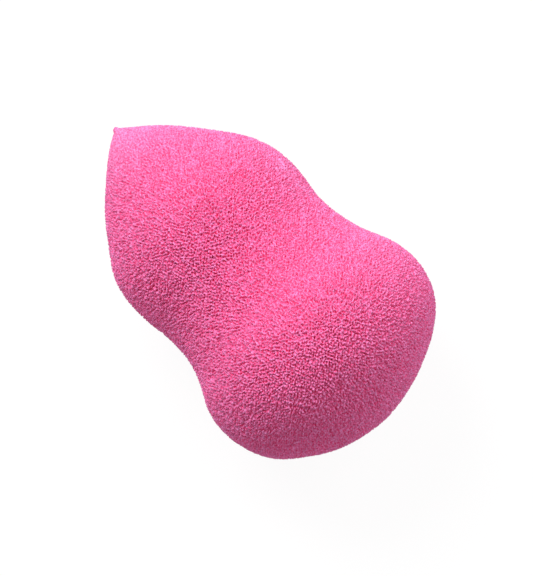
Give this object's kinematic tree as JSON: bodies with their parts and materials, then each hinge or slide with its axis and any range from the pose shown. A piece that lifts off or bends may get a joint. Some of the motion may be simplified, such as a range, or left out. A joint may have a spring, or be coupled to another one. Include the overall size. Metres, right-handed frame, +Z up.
{
  "type": "makeup sponge",
  "caption": "Makeup sponge moulded in one piece of fine soft foam: a round-based gourd with a shallow waist and a pointed tip, lying on its side.",
  "frame": {"origin": "on the table, below the centre of the lying sponge's outline", "axes": "+X towards the pointed tip, +Z up from the table; the body's own axis dips 7.7 degrees towards the tip, so that both bulbs rest on the table"},
  "size_m": [0.0606, 0.039, 0.0384],
  "materials": {
    "foam": "matte"
  },
  "bodies": {
    "root": {"foam_body": "foam"}
  },
  "joints": []
}
